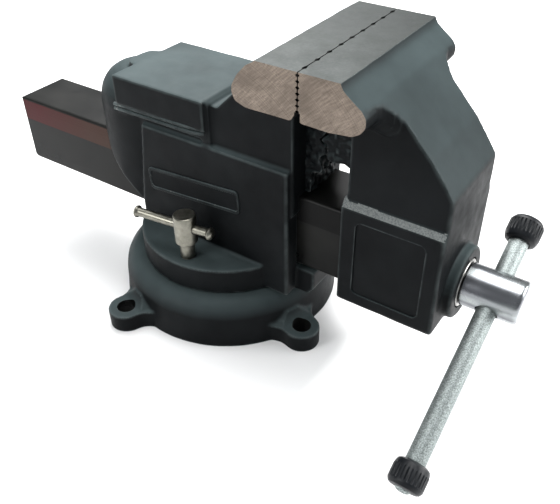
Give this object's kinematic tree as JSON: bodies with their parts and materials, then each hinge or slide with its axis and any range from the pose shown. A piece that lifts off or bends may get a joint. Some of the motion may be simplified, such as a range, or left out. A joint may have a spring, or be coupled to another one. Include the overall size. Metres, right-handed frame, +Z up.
{
  "type": "bench vise",
  "caption": "Swivel-base bench vise with wide serrated jaws, a flat anvil behind them, pipe jaws below, a hollow slide and a screw with a sliding bar handle.",
  "frame": {"origin": "the swivel axis where it meets the bench plane, under the middle of the round base", "axes": "+X from the fixed jaw to the screw head, +Y across the jaws, +Z up from the bench"},
  "size_m": [0.3678, 0.1913, 0.19],
  "materials": {
    "cast_paint": "satin charcoal paint over a fine sand-cast skin",
    "ground_steel": "ground bare metal with fine arc marks",
    "bright_chrome": "bright plating on a turned head, bare thread behind",
    "satin_zinc": "satin mottled zinc plating",
    "nickel": "warm bright plating",
    "plain_steel": "plain oiled steel",
    "black_plastic": "moulded, ribbed lengthwise"
  },
  "bodies": {
    "base": {"swivel_base": "cast_paint"},
    "fixed_jaw": {"rear_jaw_body": "cast_paint", "rear_pipe_jaw": "cast_paint", "main_nut": "plain_steel", "nut_bolt": "plain_steel", "swivel_clamp_plate": "plain_steel", "pivot_bolt": "plain_steel", "pivot_washer": "plain_steel"},
    "moving_jaw": {"front_jaw_body": "cast_paint", "front_pipe_jaw": "cast_paint", "thrust_washer": "plain_steel"},
    "screw": {"main_screw": "bright_chrome", "retaining_spring": "plain_steel", "spring_washer": "plain_steel", "split_pin": "plain_steel"},
    "handle": {"handle_bar": "satin_zinc", "handle_cap_low": "black_plastic", "handle_cap_high": "black_plastic"},
    "near_lock": {"lock_screw_near": "nickel"},
    "near_lock_handle": {"lock_bar_near": "nickel"},
    "far_lock": {"lock_screw_far": "nickel"},
    "far_lock_handle": {"lock_bar_far": "nickel"}
  },
  "joints": [
    {"name": "base_swivel", "type": "hinge", "parent": "base", "child": "fixed_jaw", "pos_m": [0, 0, 0.031], "axis": [0, 0, 1], "continuous": true},
    {"name": "jaw_slide", "type": "slide", "parent": "fixed_jaw", "child": "moving_jaw", "axis": [1, 0, 0], "range_m": [0, 0.1]},
    {"name": "screw_turn", "type": "hinge", "parent": "moving_jaw", "child": "screw", "pos_m": [0.165, 0, 0.0685], "axis": [1, 0, 0], "range_deg": [0, 7200]},
    {"name": "handle_slide", "type": "slide", "parent": "screw", "child": "handle", "axis": [0, 0.8746, 0.4848], "range_m": [-0.0199, 0.0869]},
    {"name": "near_lock_turn", "type": "hinge", "parent": "fixed_jaw", "child": "near_lock", "pos_m": [0.004, -0.0474, 0.0715], "axis": [0, 0, 1], "range_deg": [-22, 32]},
    {"name": "near_lock_bar_slide", "type": "slide", "parent": "near_lock", "child": "near_lock_handle", "axis": [-0.9936, -0.1132, 0], "range_m": [-0.0264, 0.0088]},
    {"name": "far_lock_turn", "type": "hinge", "parent": "fixed_jaw", "child": "far_lock", "pos_m": [0.004, 0.0474, 0.0715], "axis": [0, 0, 1], "range_deg": [-32, 22]},
    {"name": "far_lock_bar_slide", "type": "slide", "parent": "far_lock", "child": "far_lock_handle", "axis": [0.9936, -0.1132, 0], "range_m": [-0.0088, 0.0264]}
  ],
  "couplings": [
    {"joint": "screw_turn", "follows": "jaw_slide", "rad_per_m": 1256.6}
  ]
}
